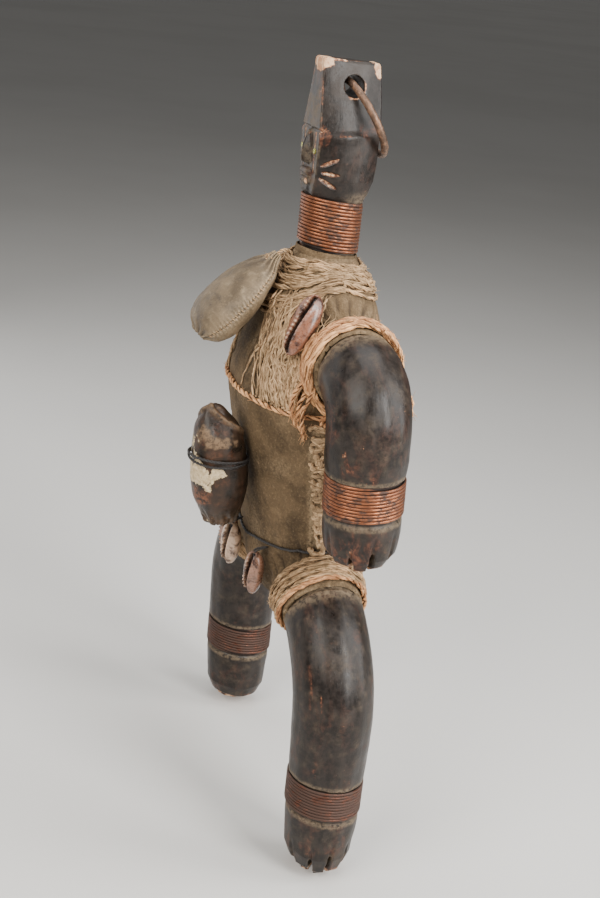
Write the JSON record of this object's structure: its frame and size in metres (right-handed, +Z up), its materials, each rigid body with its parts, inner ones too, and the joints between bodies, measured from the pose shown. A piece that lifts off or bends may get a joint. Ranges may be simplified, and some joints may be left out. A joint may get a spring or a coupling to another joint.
{
  "type": "fertility doll",
  "caption": "Carved wooden doll with crested head, bent limbs in a stuffed hide body, copper wire wraps, fibre lashings, cowries, pouch and amulet.",
  "frame": {"origin": "hold point on the middle of the upper back, where a stand's hook or clasp holds the doll", "axes": "+Z up along the doll, -Y the way it faces, +X towards its own left hand"},
  "size_m": [0.1838, 0.0881, 0.3456],
  "materials": {
    "dark_wood": "carved hardwood, near-black brown, hand-rubbed gloss, red-brown and pale worn edges",
    "copper_wire": "copper wire, bright on the crests, oxidised between",
    "dark_copper_wire": "copper wire, mostly oxidised dark",
    "iron_ring": "forged iron, brown with rust",
    "bead": "small glazed trade bead",
    "body_hide": "dusty hide, ochre earth rubbed in",
    "fibre_stuffing": "loose plant fibre",
    "fibre_cord": "two-ply twisted plant fibre cord",
    "fibre_mat": "matted fibre crusted with earth",
    "dark_cord": "thin blackened cord",
    "pouch_leather": "grey-brown leather, polished by handling",
    "lacquered_hide": "dark lacquered hide with worn cream patches",
    "cowrie_shell": "polished shell stained red-brown"
  },
  "bodies": {
    "torso": {"hide_body": "body_hide", "stuffing": "fibre_stuffing", "neck_cords": "fibre_cord", "chest_cord": "fibre_cord", "hip_string": "dark_cord", "left_side_seam": "fibre_mat", "left_chest_mat": "fibre_mat", "left_shoulder_lashing": "fibre_cord", "left_hip_lashing": "fibre_cord", "left_shoulder_cowrie": "cowrie_shell", "right_side_seam": "fibre_mat", "right_chest_mat": "fibre_mat", "right_shoulder_lashing": "fibre_cord", "right_hip_lashing": "fibre_cord", "right_shoulder_cowrie": "cowrie_shell"},
    "head": {"head": "dark_wood", "eye_beads": "bead", "neck_wire": "copper_wire"},
    "ring": {"head_ring": "iron_ring"},
    "left_arm": {"left_arm": "dark_wood", "left_wrist_wire": "copper_wire"},
    "right_arm": {"right_arm": "dark_wood", "right_wrist_wire": "copper_wire"},
    "left_leg": {"left_leg": "dark_wood", "left_ankle_wire": "dark_copper_wire"},
    "right_leg": {"right_leg": "dark_wood", "right_ankle_wire": "dark_copper_wire"},
    "pouch": {"chest_pouch": "pouch_leather", "pouch_filling": "fibre_stuffing", "pouch_loop": "fibre_cord"},
    "amulet": {"belly_amulet": "lacquered_hide", "amulet_binding": "dark_cord"},
    "middle_cowrie": {"middle_belly_cowrie": "cowrie_shell"},
    "left_cowrie": {"left_belly_cowrie": "cowrie_shell"},
    "right_cowrie": {"right_belly_cowrie": "cowrie_shell"}
  },
  "joints": [
    {"name": "neck_turn", "type": "hinge", "parent": "torso", "child": "head", "pos_m": [0, -0.025, 0.02], "axis": [0, 0, 1], "range_deg": [-10, 10]},
    {"name": "left_shoulder", "type": "hinge", "parent": "torso", "child": "left_arm", "pos_m": [0.053, -0.0245, -0.008], "axis": [1, 0, 0], "range_deg": [-15, 15]},
    {"name": "right_shoulder", "type": "hinge", "parent": "torso", "child": "right_arm", "pos_m": [-0.053, -0.0245, -0.008], "axis": [1, 0, 0], "range_deg": [-15, 15]},
    {"name": "left_hip", "type": "hinge", "parent": "torso", "child": "left_leg", "pos_m": [0.0475, -0.025, -0.1205], "axis": [0.9063, 0, -0.4226], "range_deg": [-10, 10]},
    {"name": "right_hip", "type": "hinge", "parent": "torso", "child": "right_leg", "pos_m": [-0.0475, -0.025, -0.1205], "axis": [-0.9063, 0, -0.4226], "range_deg": [-10, 10]},
    {"name": "head_ring_swing", "type": "hinge", "parent": "head", "child": "ring", "pos_m": [0, -0.0235, 0.102], "axis": [1, 0, 0], "range_deg": [0, 240]},
    {"name": "pouch_swing", "type": "hinge", "parent": "torso", "child": "pouch", "pos_m": [0, -0.04288, 0.0283], "axis": [-1, 0, 0], "range_deg": [0, 60]},
    {"name": "amulet_rock", "type": "hinge", "parent": "torso", "child": "amulet", "pos_m": [0.013, -0.0552, -0.066], "axis": [1, 0, 0], "range_deg": [0, 8]},
    {"name": "middle_cowrie_swing", "type": "hinge", "parent": "torso", "child": "middle_cowrie", "pos_m": [0, -0.0564, -0.0976], "axis": [-1, 0, 0], "range_deg": [0, 35]},
    {"name": "left_cowrie_swing", "type": "hinge", "parent": "torso", "child": "left_cowrie", "pos_m": [0.023, -0.0514, -0.1019], "axis": [-1, 0, 0], "range_deg": [0, 35]},
    {"name": "right_cowrie_swing", "type": "hinge", "parent": "torso", "child": "right_cowrie", "pos_m": [-0.023, -0.0514, -0.1019], "axis": [-1, 0, 0], "range_deg": [0, 35]}
  ]
}
